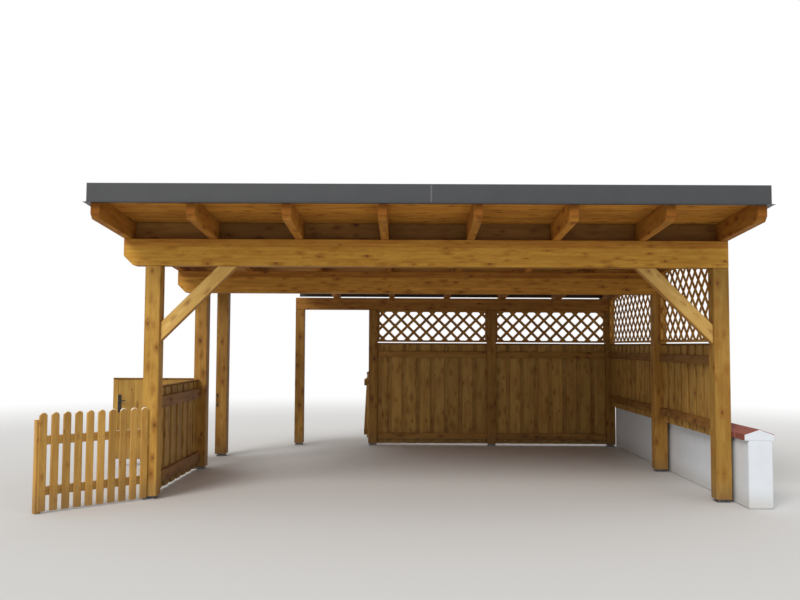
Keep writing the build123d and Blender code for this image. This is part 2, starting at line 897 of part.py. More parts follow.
# Lock plate, rose and bent lever on both faces of the side gate, near its free edge
lock_x = leaf_start + side_clear - 2 * gate_gap - lock_edge - lock_width / 2
lock_z = lock_foot + lock_height / 2
lever_z = lock_foot + lock_height - lever_drop
with BuildPart() as side_gate_lock:
    for depth, out in ((pin_out, -1), (pin_out + board_thickness, 1)):
        with BuildSketch(side_gate.offset(depth)) as plate:
            with Locations((lock_x, lock_z)):
                RectangleRounded(lock_width, lock_height, lock_width / 4)
        extrude(plate.sketch, amount=out * lock_thickness)
        with BuildSketch(side_gate.offset(depth + out * lock_thickness)) as rose:
            with Locations((lock_x, lever_z)):
                Circle(lever_rose)
        extrude(rose.sketch, amount=out * lever_radius)
        root = side_gate.offset(depth + out * lock_thickness)
        tip = side_gate.offset(depth + out * (lock_thickness + lever_stand_off))
        with BuildLine() as route:
            FilletPolyline(
                root.from_local_coords((lock_x, lever_z)),
                tip.from_local_coords((lock_x, lever_z)),
                tip.from_local_coords((lock_x - lever_length, lever_z)),
                radius=lever_bend,
            )
        with BuildSketch(Plane(root.from_local_coords((lock_x, lever_z)), z_dir=out * root.z_dir)) as bar:
            Circle(lever_radius)
        sweep(bar.sketch, path=route.wire())
save(side_gate_lock, "side_gate_lock")

# Strike plate on the house post, where the side gate closes
with BuildPart() as strike_plate:
    with BuildSketch(Plane.XZ.offset(post_half - house_row)):
        with Locations((-post_half + pin_out + strike_width / 2, strike_foot + strike_height / 2)):
            Rectangle(strike_width, strike_height)
            Rectangle(strike_width / 2, strike_height / 2, mode=Mode.SUBTRACT)
    extrude(amount=strike_thickness)
save(strike_plate, "strike_plate")
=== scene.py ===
"""Looks of a timber carport with a lean-to roof, lattice walls, a picket fence and two low gates.

Metres. +X runs along the front to the right, +Y to the back, +Z up, as in the frame that is loaded first.
"""

import math
import random

import bmesh
import bpy
from mathutils import Matrix, Vector


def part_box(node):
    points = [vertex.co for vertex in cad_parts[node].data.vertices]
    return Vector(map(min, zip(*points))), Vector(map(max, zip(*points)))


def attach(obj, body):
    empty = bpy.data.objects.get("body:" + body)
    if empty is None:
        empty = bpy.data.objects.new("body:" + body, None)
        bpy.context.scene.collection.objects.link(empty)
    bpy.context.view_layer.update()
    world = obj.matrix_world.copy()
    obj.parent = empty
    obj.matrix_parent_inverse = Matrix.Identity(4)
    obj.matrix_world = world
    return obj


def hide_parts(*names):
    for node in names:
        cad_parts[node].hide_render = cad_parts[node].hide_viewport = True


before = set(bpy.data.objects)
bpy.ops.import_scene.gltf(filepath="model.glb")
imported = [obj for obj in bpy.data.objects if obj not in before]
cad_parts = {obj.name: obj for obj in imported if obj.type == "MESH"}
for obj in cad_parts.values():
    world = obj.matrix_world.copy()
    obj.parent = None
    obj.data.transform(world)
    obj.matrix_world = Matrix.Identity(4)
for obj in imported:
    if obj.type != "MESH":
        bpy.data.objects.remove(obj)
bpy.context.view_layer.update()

# Posts: square spruce posts with planed arrises, stained honey brown. Each stands on its steel shoe
# and carries a beam. The grain runs up the post, and knots show on all four faces.
AXES = (Vector((1, 0, 0)), Vector((0, 1, 0)), Vector((0, 0, 1)))
ALONG_X, ALONG_Y, UP = AXES
SAME_POINT = 1e-5
SHARP_TURN = math.radians(25)
POST_ARRIS = 0.006
FINE_ARRIS = 0.003
ANY_TONE = (0.0, 1.0)
SHADED_POST_TONES = (-0.35, -0.25)
SHADED_REAR_POST_TONES = (-0.2, 0.5)
LOG_SPREAD = 40
PITH_ACROSS = (0.2, 0.8)
PITH_BELOW = (0.01, 0.05)
END_FACE = 0.8


def solids(node):
    """Lowest and highest corner of each separate solid in a frame node, ordered by X, then Y, then Z."""
    shape = bmesh.new()
    shape.from_mesh(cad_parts[node].data)
    bmesh.ops.remove_doubles(shape, verts=shape.verts, dist=SAME_POINT)
    waiting = set(shape.verts)
    boxes = []
    while waiting:
        front = [waiting.pop()]
        corners = []
        while front:
            vert = front.pop()
            corners.append(vert.co.copy())
            for edge in vert.link_edges:
                other = edge.other_vert(vert)
                if other in waiting:
                    waiting.discard(other)
                    front.append(other)
        low = Vector([min(corner[i] for corner in corners) for i in range(3)])
        high = Vector([max(corner[i] for corner in corners) for i in range(3)])
        boxes.append((low, high))
    shape.free()
    return sorted(boxes, key=lambda pair: [round(value, 3) for value in pair[0]])


def lay(origin, along, across):
    """A place for a straight piece: its grain runs along, its width across, its thickness up from both."""
    along = Vector(along).normalized()
    across = Vector(across).normalized()
    place = Matrix((along, across, along.cross(across))).transposed().to_4x4()
    place.translation = Vector(origin)
    return place


def oblong(length, width):
    """The outline of a plain straight piece."""
    return [(0, 0), (length, 0), (length, width), (0, width)]


def deliver_mesh(name, mesh, finish, body, slot, *nodes):
    """Makes an object of a finished mesh, which rides on the body and stands for the named nodes."""
    bmesh.ops.recalc_face_normals(mesh, faces=mesh.faces)
    data = bpy.data.meshes.new(name)
    mesh.to_mesh(data)
    mesh.free()
    data.materials.append(finish)
    made = bpy.data.objects.new(name, data)
    bpy.context.scene.collection.objects.link(made)
    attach(made, body)
    if nodes:
        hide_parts(*nodes)


class Pieces:
    """Straight pieces in one mesh. Each keeps its own grain, tone and end faces for its finish."""

    def __init__(self, name, seed, glued=False):
        self.name = name
        self.glued = glued
        self.draw = random.Random(seed)
        self.mesh = bmesh.new()
        self.grain = self.mesh.verts.layers.float_vector.new("grain")
        self.tone = self.mesh.verts.layers.float.new("tone")
        self.end = self.mesh.verts.layers.float.new("end")

    def cut(self, outline, thickness, place, arris=FINE_ARRIS, tones=ANY_TONE):
        """Adds a prism. The outline's points lie in the place's own plane, along the grain and across it."""
        piece = bmesh.new()
        low = [piece.verts.new((u, v, 0.0)) for u, v in outline]
        high = [piece.verts.new((u, v, thickness)) for u, v in outline]
        piece.faces.new(low[::-1])
        piece.faces.new(high)
        for i in range(len(outline)):
            piece.faces.new((low[i - 1], low[i], high[i], high[i - 1]))
        bmesh.ops.recalc_face_normals(piece, faces=piece.faces)
        if arris:
            sharp = [edge for edge in piece.edges if edge.calc_face_angle(0) > SHARP_TURN]
            bmesh.ops.bevel(piece, geom=sharp, offset=arris, segments=1, affect="EDGES")
        piece.normal_update()
        # Each piece is sawn from its own place in a long log, with the pith beside it and below it.
        width = max(v for u, v in outline)
        slide = self.draw.uniform(-LOG_SPREAD, LOG_SPREAD)
        pith_across = -width * self.draw.uniform(*PITH_ACROSS)
        pith_below = -thickness / 2 - self.draw.uniform(*PITH_BELOW)
        shift = Vector((slide, 0.0 if self.glued else pith_across, pith_below))
        tone = self.draw.uniform(*tones)
        made = {}
        for vert in piece.verts:
            new = self.mesh.verts.new(place @ vert.co)
            new[self.grain] = vert.co + shift
            new[self.tone] = tone
            new[self.end] = float(any(abs(face.normal.x) > END_FACE for face in vert.link_faces))
            made[vert] = new
        for face in piece.faces:
            self.mesh.faces.new([made[vert] for vert in face.verts])
        piece.free()

    def cut_points(self, points, thickness, place, arris=FINE_ARRIS):
        """Adds a prism whose outline is given by points of the frame that lie in the place's plane."""
        back = place.inverted()
        self.cut([(back @ Vector(point)).to_2d() for point in points], thickness, place, arris)

    def block(self, low, high, axis, arris=FINE_ARRIS, tones=ANY_TONE):
        """Adds a piece that fills a box, with its grain along the given axis."""
        size = high - low
        across = (axis + 1) % 3
        up = (axis + 2) % 3
        place = lay(low, AXES[axis], AXES[across])
        self.cut(oblong(size[axis], size[across]), size[up], place, arris, tones)

    def deliver(self, finish, body, slot, *nodes):
        """Makes the object of all the pieces."""
        deliver_mesh(self.name, self.mesh, finish, body, slot, *nodes)


class Wire:
    """A socket in a material's nodes. Arithmetic on wires adds Math nodes to the same tree."""

    def __init__(self, tree, socket=None):
        self.tree = tree
        self.socket = socket

    def node(self, kind, settings=None, sockets=None, output=0):
        """Adds a node with its settings, then the values or links of its sockets."""
        made = self.tree.nodes.new(kind)
        for key, value in (settings or {}).items():
            setattr(made, key, value)
        self.plug(made, sockets or {})
        return Wire(self.tree, made.outputs[output])

    def plug(self, made, sockets):
        for key, value in sockets.items():
            if isinstance(value, Wire):
                self.tree.links.new(value.socket, made.inputs[key])
            else:
                made.inputs[key].default_value = value

    def math(self, operation, *values):
        """A Math node on this value and the others."""
        return self.node("ShaderNodeMath", {"operation": operation}, dict(enumerate((self, *values))))

    def __add__(self, other):
        return self.math("ADD", other)

    def __sub__(self, other):
        return self.math("SUBTRACT", other)

    def __rsub__(self, other):
        return self.node("ShaderNodeMath", {"operation": "SUBTRACT"}, {0: other, 1: self})

    def __mul__(self, other):
        return self.math("MULTIPLY", other)

    def __truediv__(self, other):
        return self.math("DIVIDE", other)

    def __pow__(self, other):
        return self.math("POWER", other)

    __radd__ = __add__
    __rmul__ = __mul__

    def rise(self, start, stop):
        """0 up to start, 1 from stop, and smooth between them."""
        limits = {"Value": self, "From Min": start, "From Max": stop}
        return self.node("ShaderNodeMapRange", {"interpolation_type": "SMOOTHSTEP"}, limits)

    def split(self):
        parts = self.node("ShaderNodeSeparateXYZ", sockets={0: self})
        return [Wire(self.tree, socket) for socket in parts.socket.node.outputs]

    def vector(self, x, y, z):
        return self.node("ShaderNodeCombineXYZ", sockets={0: x, 1: y, 2: z})

    def vectors(self, operation, *values, output=0):
        """A Vector Math node on this vector and the others."""
        inputs = dict(enumerate((self, *values)))
        return self.node("ShaderNodeVectorMath", {"operation": operation}, inputs, output)

    def place(self):
        """Where the shaded point lies on the object, in metres."""
        return self.node("ShaderNodeTexCoord", output="Object")

    def kept(self, name, output="Fac"):
        """A value that the mesh keeps for each of its points."""
        return self.node("ShaderNodeAttribute", {"attribute_name": name}, output=output)

    def noise(self, vector, scale=1.0, detail=3.0, roughness=0.5):
        sockets = {"Vector": vector, "Scale": scale, "Detail": detail, "Roughness": roughness}
        return self.node("ShaderNodeTexNoise", sockets=sockets)

    def between(self, first, second):
        """A colour that goes from first to second as this value goes from 0 to 1."""
        return self.node("ShaderNodeMix", {"data_type": "RGBA"}, {0: self, 6: first, 7: second}, output=2)

    def dim(self, value):
        """This colour made lighter or darker by a value."""
        return self.node("ShaderNodeVectorMath", {"operation": "SCALE"}, {0: self, "Scale": value})

    def relief(self, height, strength, distance):
        sockets = {"Height": height, "Strength": strength, "Distance": distance}
        return self.node("ShaderNodeBump", sockets=sockets)


def new_finish(name):
    """A material and a wire into its nodes."""
    material = bpy.data.materials.new(name)
    material.use_nodes = True
    return material, Wire(material.node_tree)


def coat(material, sockets):
    """Connects or sets the named sockets of the material's Principled shader."""
    Wire(material.node_tree).plug(material.node_tree.nodes["Principled BSDF"], sockets)


# There is a knot to each cell of this length, width and depth. A beam's layers count from its foot;
# from the given layers up, they are painted darker as shade from the eaves.
KNOT_CELL = (0.22, 0.09, 0.08)
RING_PITCH = 0.0046
EAVE_SHADE_LAYERS = (4.4, 4.6)
TOP_HIGHLIGHT_WHITE = (0.97, 0.90, 0.76, 1)
SPLASH_DIRT = (0.20, 0.125, 0.06, 1)


def stained_spruce(name, honey, amber, knot_size, lamella=0.0, matt=0.0, painted_top_light=0.0, faint=0.0):
    """Stained spruce of two shades.

    A lamella height makes it glued timber, with a joint at each layer and painted shade on its top layers.
    matt adds to the roughness, painted_top_light paints what faces up pale as a painted highlight, and faint
    weakens the knots.
    """
    material, wire = new_finish(name)
    grain = wire.kept("grain", "Vector")
    tone = wire.kept("tone")
    end = wire.kept("end")
    if lamella:
        # The top two layers of a deep beam are painted darker and redder: painted shade from the eaves.
        layer = grain.split()[1] / lamella
        index = layer.math("FLOOR")
        joint = 1 - layer.math("PINGPONG", 0.5).rise(0.0, 0.03)
        eave_shade = index.rise(*EAVE_SHADE_LAYERS)
        drawn = wire.node("ShaderNodeTexWhiteNoise", {"noise_dimensions": "1D"}, {"W": index + tone * 9})
        tone = tone * 0.3 + drawn * 0.7
        shift = wire.vector(index * 7.31, index * -lamella - 0.05, drawn * 0.4)
        grain = grain.vectors("ADD", shift)
    along, across, deep = grain.split()
    bend = wire.noise(wire.vector(along * 0.9, across * 5, deep * 5), 1.0, 2.0) - 0.5
    wisp = wire.noise(wire.vector(along * 24, across * 40, deep * 40), 1.0, 3.0, 0.6) - 0.5

    # Knots sit at the nearest point of a stretched cell pattern, and the growth rings flow around them.
    scaled = grain.vectors("DIVIDE", KNOT_CELL)
    cells = {"Vector": scaled, "Scale": 1.0}
    nearest = wire.node("ShaderNodeTexVoronoi", sockets=cells, output="Position")
    chance = wire.node("ShaderNodeTexVoronoi", sockets=cells, output="Color").split()
    apart = nearest.vectors("SUBTRACT", scaled).vectors("MULTIPLY", KNOT_CELL)
    round_part = apart.vectors("MULTIPLY", (0.75, 1.0, 1.0))
    long_part = apart.vectors("MULTIPLY", (0.46, 1.0, 1.0))
    size = knot_size * (0.40 + chance[0] * 0.80)
    reach = (round_part.vectors("LENGTH", output="Value") + wisp * 0.030) / size
    halo = (long_part.vectors("LENGTH", output="Value") + wisp * 0.034) / size
    knot = (1 - reach.rise(0.35, 1.0)) * (0.35 + chance[1] * 0.65)
    rim = 1 - halo.rise(0.6, 2.4)
    swirl = 1 - reach.rise(0.0, 4.0)

    radius = (across * across + deep * deep).math("SQRT")
    ring = (radius + bend * 0.05 + swirl * 0.012) / RING_PITCH
    late = ring.math("FRACT") ** 4
    streak = wire.noise(wire.vector(along * 1.6, across * 26, deep * 26), 1.0, 4.0, 0.6).rise(0.3, 0.7)
    broad = wire.noise(wire.vector(along * 2.2, across * 10, deep * 10), 1.0, 3.0, 0.6).rise(0.3, 0.7)
    fibre = wire.noise(wire.vector(along * 9, across * 420, deep * 420), 1.0, 2.0)

    rust = (amber[0] * 0.72, amber[1] * 0.60, amber[2] * 0.55, 1)
    dark = (amber[0] * 0.25, amber[1] * 0.19, amber[2] * 0.35, 1)
    colour = (streak * 0.45 + broad * 0.55).between((*honey, 1), (*amber, 1))
    colour = (late * 0.30).between(colour, rust)
    if lamella:
        colour = (eave_shade * (0.42 + streak * 0.42)).between(colour, rust)
    colour = colour.dim(0.80 + tone * 0.34 + (fibre - 0.5) * 0.16)
    colour = (rim * (0.75 - faint * 0.3)).between(colour, rust)
    colour = (knot * (1 - faint)).between(colour, dark)
    if lamella:
        colour = (joint * 0.4).between(colour, dark)
    # What faces up is painted pale: a painted highlight of the light on the tops.
    if painted_top_light:
        up = wire.node("ShaderNodeNewGeometry", output="Normal").split()[2]
        colour = (up.rise(0.15, 0.55) * painted_top_light).between(colour, TOP_HIGHLIGHT_WHITE)
    else:
        # End faces are darkened: end grain takes up more stain, and the strength also paints in shade, as on
        # the rafter noses under the eaves.
        colour = (end * 0.85).between(colour, rust)

    # Splash and dust darken the lowest hand's breadth of what stands near the ground.
    place = wire.place()
    height = place.split()[2] + (wire.noise(place, 9.0, 3.0) - 0.5) * 0.16
    colour = ((1 - height.rise(0.03, 0.30)) * 0.45).between(colour, SPLASH_DIRT)
    relief = late * 0.5 + fibre * 0.5 - knot * 0.6
    coat(
        material,
        {
            "Base Color": colour,
            "Roughness": 0.52 + matt + streak * 0.08 + end * 0.12 + fibre * 0.06,
            "Specular IOR Level": 0.22,
            "Normal": wire.relief(relief, 0.22, 0.0012),
        },
    )
    return material


post_spruce = stained_spruce("stained_post_spruce", (0.61, 0.355, 0.072), (0.40, 0.195, 0.030), 0.021)
# A darker copy of the post stain, painted shade, for the posts and rails further under the roof.
shaded_inner_spruce = stained_spruce("stained_inner_spruce", (0.45, 0.240, 0.050), (0.28, 0.130, 0.022), 0.021)
single_posts = ("post_front_left", "post_front_right", "post_mid_left", "post_mid_right", "post_house")
for seed, node in enumerate(single_posts, 11):
    post = Pieces(f"{node}_timber", seed)
    # The front right post draws darker tones: painted shade, as it stands further from the light on the
    # left.
    tones = SHADED_POST_TONES if node == "post_front_right" else ANY_TONE
    post.block(*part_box(node), 2, POST_ARRIS, tones)
    post.deliver(post_spruce if "front" in node else shaded_inner_spruce, "carport", "timber", node)

rear_posts = Pieces("rear_post_timbers", 21)
for low, high in solids("posts_rear"):
    # The rear posts draw tones that lean dark: painted shade at the back of the bay.
    rear_posts.block(low, high, 2, POST_ARRIS, SHADED_REAR_POST_TONES)
rear_posts.deliver(shaded_inner_spruce, "carport", "timber", "posts_rear")

# Post shoes: welded steel shoes that hold the posts off the ground, hot-dip galvanised and now dull.
# Four anchor bolts with washers and nuts hold each base plate down. Washers, nuts and bolt ends are
# given by radius, height and sides, and a domed end by its rise.
BOLT_SPACING = 0.090
PLATE_TOP = 0.008
WASHER = (0.012, 0.002, 16)
NUT = (0.0098, 0.009, 6)
STUD = (0.0055, 0.014, 10, 0.001)


def dull_zinc(name, colour, roughness):
    """Galvanised steel: a soft cloudy grey with small spangles and darker clouds of dust."""
    material, wire = new_finish(name)
    place = wire.place()
    cloud = wire.noise(place, 14.0, 4.0, 0.6).rise(0.3, 0.7)
    spangle = wire.noise(place, 160.0, 2.0)
    dark = tuple(value * 0.62 for value in colour) + (1,)
    coat(
        material,
        {
            "Base Color": (cloud * 0.6 + spangle * 0.3).between((*colour, 1), dark),
            "Metallic": 0.75,
            "Roughness": roughness + cloud * 0.15,
            "Normal": wire.relief(spangle, 0.15, 0.001),
        },
    )
    return material


def dress(finish, *nodes):
    """Gives frame nodes that are shown as they are their finish."""
    for node in nodes:
        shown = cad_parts[node].data
        shown.materials.clear()
        shown.materials.append(finish)


def disc(mesh, centre, normal, radius, height, sides, dome=0.0):
    """Adds a round or many-sided plate with its foot at centre, and a raised middle where dome is given."""
    turn = UP.rotation_difference(normal).to_matrix()
    rings = [(radius, 0.0), (radius, height)]
    if dome:
        rings += [(radius * 0.75, height + dome * 0.7), (radius * 0.3, height + dome)]
    loops = []
    for ring_radius, level in rings:
        loop = []
        for i in range(sides):
            turned = 2 * math.pi * i / sides
            flat = Vector((ring_radius * math.cos(turned), ring_radius * math.sin(turned), level))
            loop.append(mesh.verts.new(centre + turn @ flat))
        loops.append(loop)
    for below, above in zip(loops, loops[1:]):
        for i in range(sides):
            mesh.faces.new((below[i - 1], below[i], above[i], above[i - 1]))
    mesh.faces.new(loops[0][::-1])
    mesh.faces.new(loops[-1])


zinc = dull_zinc("dull_galvanised_steel", (0.30, 0.31, 0.32), 0.45)
dress(zinc, "post_shoes")
anchors = bmesh.new()
for low, high in solids("post_shoes"):
    middle = (low + high) / 2
    for x in (-1, 1):
        for y in (-1, 1):
            foot = Vector((middle.x + x * BOLT_SPACING / 2, middle.y + y * BOLT_SPACING / 2, PLATE_TOP))
            disc(anchors, foot, UP, *WASHER)
            foot.z += WASHER[1]
            disc(anchors, foot, UP, *NUT)
            disc(anchors, foot, UP, *STUD)
deliver_mesh("anchor_bolts", anchors, zinc, "carport", "steel")

# Beams: glued spruce beams of flat layers. The two long ones reach past the left posts,
# where their lower corner is cut off at a slant; a lighter one and a plate close the back.
BEAM_ARRIS = 0.004
BEAM_BEVEL = 0.100
LAYER = 0.040

# The front beam takes a lighter copy of the glued stain, painted light, and the middle and rear beams darker
# copies, painted shade.
lit_front_glued_spruce = stained_spruce(
    "lit_front_glued_spruce", (0.73, 0.405, 0.059), (0.49, 0.225, 0.025), 0.022, LAYER
)
shaded_middle_glued_spruce = stained_spruce(
    "shaded_middle_glued_spruce", (0.65, 0.335, 0.052), (0.41, 0.172, 0.022), 0.022, LAYER
)
shaded_rear_glued_spruce = stained_spruce(
    "shaded_rear_glued_spruce", (0.45, 0.215, 0.042), (0.27, 0.112, 0.018), 0.020, LAYER
)


def lay_beam(low, high):
    """The place of a beam's back face, from which the beam is cut towards the front."""
    return lay((low.x, high.y, low.z), ALONG_X, UP)


front_beam, middle_beam = solids("cross_beams")
long_beams = (
    ("front_beam_timber", lit_front_glued_spruce, front_beam, ("cross_beams",)),
    ("middle_beam_timber", shaded_middle_glued_spruce, middle_beam, ()),
)
for seed, (name, finish, (low, high), nodes) in enumerate(long_beams, 31):
    beam = Pieces(name, seed, glued=True)
    length = high.x - low.x
    depth = high.z - low.z
    outline = [(BEAM_BEVEL, 0), (length, 0), (length, depth), (0, depth), (0, BEAM_BEVEL)]
    beam.cut(outline, high.y - low.y, lay_beam(low, high), BEAM_ARRIS)
    beam.deliver(finish, "carport", "timber", *nodes)

rear_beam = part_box("beam_rear")
wall_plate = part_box("wall_plate")
for seed, (node, (low, high)) in enumerate((("beam_rear", rear_beam), ("wall_plate", wall_plate)), 41):
    beam = Pieces(f"{node}_timber", seed, glued=True)
    outline = oblong(high.x - low.x, high.z - low.z)
    beam.cut(outline, high.y - low.y, lay_beam(low, high), BEAM_ARRIS)
    beam.deliver(shaded_rear_glued_spruce, "carport", "timber", node)

# Corner braces: two short timbers at 45 degrees that stiffen the front frame. Their ends are cut
# to lie flat against the post and under the beam.
BRACE_DEPTH = 0.140

brace_spruce = stained_spruce(
    "stained_brace_spruce", (0.75, 0.50, 0.155), (0.56, 0.32, 0.080), 0.014, faint=0.3
)
braces = Pieces("brace_timbers", 51)
for side, (low, high) in zip((1, -1), solids("braces")):
    start = low.x if side > 0 else high.x
    face = high.y if side > 0 else low.y
    inner = (high.x - low.x) - BRACE_DEPTH * math.sqrt(2)
    corners = [
        (start, face, low.z),
        (start + side * (high.x - low.x), face, high.z),
        (start + side * inner, face, high.z),
        (start, face, high.z - inner),
    ]
    place = lay(corners[0], (side, 0, 1), (-side, 0, 1))
    braces.cut_points(corners, high.y - low.y, place, POST_ARRIS)
braces.deliver(brace_spruce, "carport", "timber", "braces")

# Rafters: eight deep timbers laid to the fall of the roof, cut plumb at both ends and level where they
# lie on a beam. Their front noses stand out under the eaves and are bevelled off below.
ROOF_FALL = math.radians(4.2)
RAFTER_DEPTH = 0.200
SEAT_CUT = 0.006
NOSE = 0.045
slope = math.tan(ROOF_FALL)
fall = Vector((0, math.cos(ROOF_FALL), -math.sin(ROOF_FALL)))
off_roof = Vector((0, math.sin(ROOF_FALL), math.cos(ROOF_FALL)))
rafter_rise = RAFTER_DEPTH / math.cos(ROOF_FALL)


def beam_top(y):
    """Height of the line on which the beams' tops lie."""
    return front_beam[1].z - slope * y


def rafter_foot(y):
    """Height of the rafters' underside."""
    return beam_top(y) - SEAT_CUT


rafter_spruce = stained_spruce(
    "stained_rafter_spruce", (0.52, 0.235, 0.034), (0.33, 0.125, 0.015), 0.020, matt=0.15
)
rafter_boxes = solids("rafters")
rafters = Pieces("rafter_timbers", 61)
for low, high in rafter_boxes:
    last = rear_beam if high.y > rear_beam[0].y else wall_plate
    nose = Vector((low.x, low.y, rafter_foot(low.y)))
    points = [nose + UP * NOSE, nose + fall * NOSE]
    for seat_low, seat_high in (front_beam, middle_beam, last):
        seat = beam_top((seat_low.y + seat_high.y) / 2)
        back = min(seat_high.y, high.y)
        points += [(low.x, seat_low.y, seat), (low.x, back, seat)]
        if back < high.y:
            points.append((low.x, back, rafter_foot(back)))
    if back < high.y:
        points.append((low.x, high.y, rafter_foot(high.y)))
    for y in (high.y, low.y):
        points.append((low.x, y, rafter_foot(y) + rafter_rise))
    rafters.cut_points(points, high.x - low.x, lay(nose, fall, off_roof))
rafters.deliver(rafter_spruce, "carport", "timber", "rafters")

# Blocking boards: planed boards that close the gaps between the rafters above the front beam. Their
# heads stay just clear of the deck.
BLOCKING_GAP = 0.002
BLOCKING_ARRIS = 0.002

# The blocking takes a darker copy of the stain: painted shade for its place behind the beam.
shaded_blocking_spruce = stained_spruce(
    "stained_blocking_spruce", (0.32, 0.160, 0.034), (0.20, 0.090, 0.018), 0.018
)
blocking = Pieces("blocking_boards", 71)
for low, high in solids("blocking"):
    high.z -= BLOCKING_GAP
    blocking.block(low, high, 0, BLOCKING_ARRIS)
blocking.deliver(shaded_blocking_spruce, "carport", "timber", "blocking")

# Roof deck: matched boards laid across the rafters. From below their edges show as fine V joints,
# and the butt joints lie on the rafters, staggered from row to row. The roof has a front bay of full
# width and a narrower one behind it.
DECK_BOARD = 0.146
DECK_ARRIS = 0.0045
DECK_THICKNESS = 0.024
JOINT_MARGIN = 0.5
STAGGER = 3

deck_spruce = stained_spruce(
    "stained_deck_spruce", (0.60, 0.275, 0.038), (0.38, 0.150, 0.017), 0.018, matt=0.25
)
deck_low, deck_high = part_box("roof_deck")
corner_x = rear_beam[0].x
corner_y = wall_plate[1].y
roof_bays = ((deck_low.x, deck_low.y, corner_y), (corner_x, corner_y, deck_high.y))
joint_places = [(low.x + high.x) / 2 for low, high in rafter_boxes]
joint_places = [x for x in joint_places if deck_low.x + JOINT_MARGIN < x < deck_high.x - JOINT_MARGIN]

deck = Pieces("deck_boards", 81)
row = 0
for left, front, back in roof_bays:
    rows = round((back - front) / DECK_BOARD)
    pitch = (back - front) / rows
    for i in range(rows):
        y = front + i * pitch
        breaks = [x for x in joint_places[row % STAGGER :: STAGGER] if x > left + JOINT_MARGIN]
        ends = [left] + breaks + [deck_high.x]
        for start, stop in zip(ends, ends[1:]):
            width = pitch / math.cos(ROOF_FALL)
            place = lay((start, y, rafter_foot(y) + rafter_rise), ALONG_X, fall)
            deck.cut(oblong(stop - start, width), DECK_THICKNESS, place, DECK_ARRIS)
        row += 1
deck.deliver(deck_spruce, "carport", "timber", "roof_deck")

# Roof sheet: mineral-faced roofing in metre-wide strips down the slope, welded at laps, and turned up
# over a small cant against the fascias.
STRIP = 1.0
SLIVER = 0.01
SHEET = 0.005
LAP = 0.09
LAP_SHEET = 0.003
LAP_ARRIS = 0.0015
CANT = 0.05
UPSTAND = 0.085
UPSTAND_SHEET = 0.006


def slated_sheet(name):
    """Grey mineral chippings bedded in bitumen, each of its own shade, with washed-out patches."""
    material, wire = new_finish(name)
    place = wire.place()
    grains = wire.node("ShaderNodeTexVoronoi", sockets={"Vector": place, "Scale": 420.0}, output="Color")
    grit = grains.split()[0]
    patch = wire.noise(place, 1.3, 4.0, 0.6).rise(0.35, 0.7)
    colour = grit.between((0.060, 0.063, 0.068, 1), (0.16, 0.165, 0.17, 1))
    colour = (patch * 0.4).between(colour, (0.13, 0.13, 0.125, 1))
    coat(
        material,
        {"Base Color": colour, "Roughness": 0.82 + grit * 0.1, "Normal": wire.relief(grit, 0.5, 0.002)},
    )
    return material


def on_roof(x, y, lift=0.0):
    """A point on the roof sheet's underside, or lifted off it."""
    return Vector((x, y, rafter_foot(y) + rafter_rise + DECK_THICKNESS / math.cos(ROOF_FALL) + lift))


sheet = Pieces("roof_sheet_strips", 91)
strips = round((deck_high.x - deck_low.x) / STRIP)
strip = (deck_high.x - deck_low.x) / strips
for left, front, back in roof_bays:
    run = (back - front) / math.cos(ROOF_FALL)
    for i in range(strips):
        start = max(left, deck_low.x + i * strip)
        stop = deck_low.x + (i + 1) * strip
        if stop <= left + SLIVER:
            continue
        sheet.cut(oblong(run, stop - start), SHEET, lay(on_roof(stop, front), fall, -ALONG_X), 0)
        if i < strips - 1:
            place = lay(on_roof(stop + LAP / 2, front, SHEET), fall, -ALONG_X)
            sheet.cut(oblong(run, LAP), LAP_SHEET, place, LAP_ARRIS)
turned_up = [
    (0, 0),
    (CANT, 0),
    (UPSTAND_SHEET, CANT - UPSTAND_SHEET),
    (UPSTAND_SHEET, UPSTAND),
    (0, UPSTAND),
]
left_run = (corner_y - deck_low.y) / math.cos(ROOF_FALL)
left_edge = on_roof(deck_low.x, deck_low.y, SHEET) + fall * left_run
sheet.cut(turned_up, left_run, lay(left_edge, ALONG_X, off_roof), 0)
right_run = (deck_high.y - deck_low.y) / math.cos(ROOF_FALL)
right_edge = on_roof(deck_high.x, deck_low.y, SHEET)
sheet.cut(turned_up, right_run, lay(right_edge, -ALONG_X, off_roof), 0)
front_edge = on_roof(deck_low.x, deck_low.y, SHEET)
sheet.cut(turned_up, deck_high.x - deck_low.x, lay(front_edge, ALONG_Y, UP), 0)
sheet.deliver(slated_sheet("slated_roofing"), "carport", "roof_sheet", "roof_sheet")

# Fascias: upstand boards wrapped in folded sheet steel, coated anthracite grey, with a drip fold
# along the foot. The two lengths of the front sheet meet under a flat, paler cover strip.
FASCIA_THICKNESS = 0.030
DRIP_FOLD = 0.012
STRIP_MIDDLE = 2.865
STRIP_WIDTH = 0.016
STRIP_RAISED = 0.0015
STRIP_ARRIS = 0.0005


def coated_sheet(name, colour, roughness=0.42):
    """Factory-coated sheet metal: even colour, faint waves from the folding, dust and run marks."""
    material, wire = new_finish(name)
    place = wire.place()
    x, y, z = place.split()
    dust = wire.noise(place, 3.0, 4.0, 0.6).rise(0.35, 0.75)
    run = wire.noise(wire.vector(x * 26, y * 26, z * 1.6), 1.0, 3.0).rise(0.52, 0.75)
    wave = wire.noise(wire.vector(x * 1.6, y * 1.6, z * 5), 1.0, 1.0)
    speck = wire.noise(place, 700.0, 1.0)
    pale = tuple(value * 1.35 + 0.004 for value in colour) + (1,)
    coat(
        material,
        {
            "Base Color": (dust * 0.35 + run * 0.18).between((*colour, 1), pale),
            "Metallic": 0.0,
            "Roughness": roughness + dust * 0.14,
            "Coat Weight": 0.05,
            "Coat Roughness": 0.35,
            "Normal": wire.relief(wave + speck * 0.004, 0.35, 0.01),
        },
    )
    return material


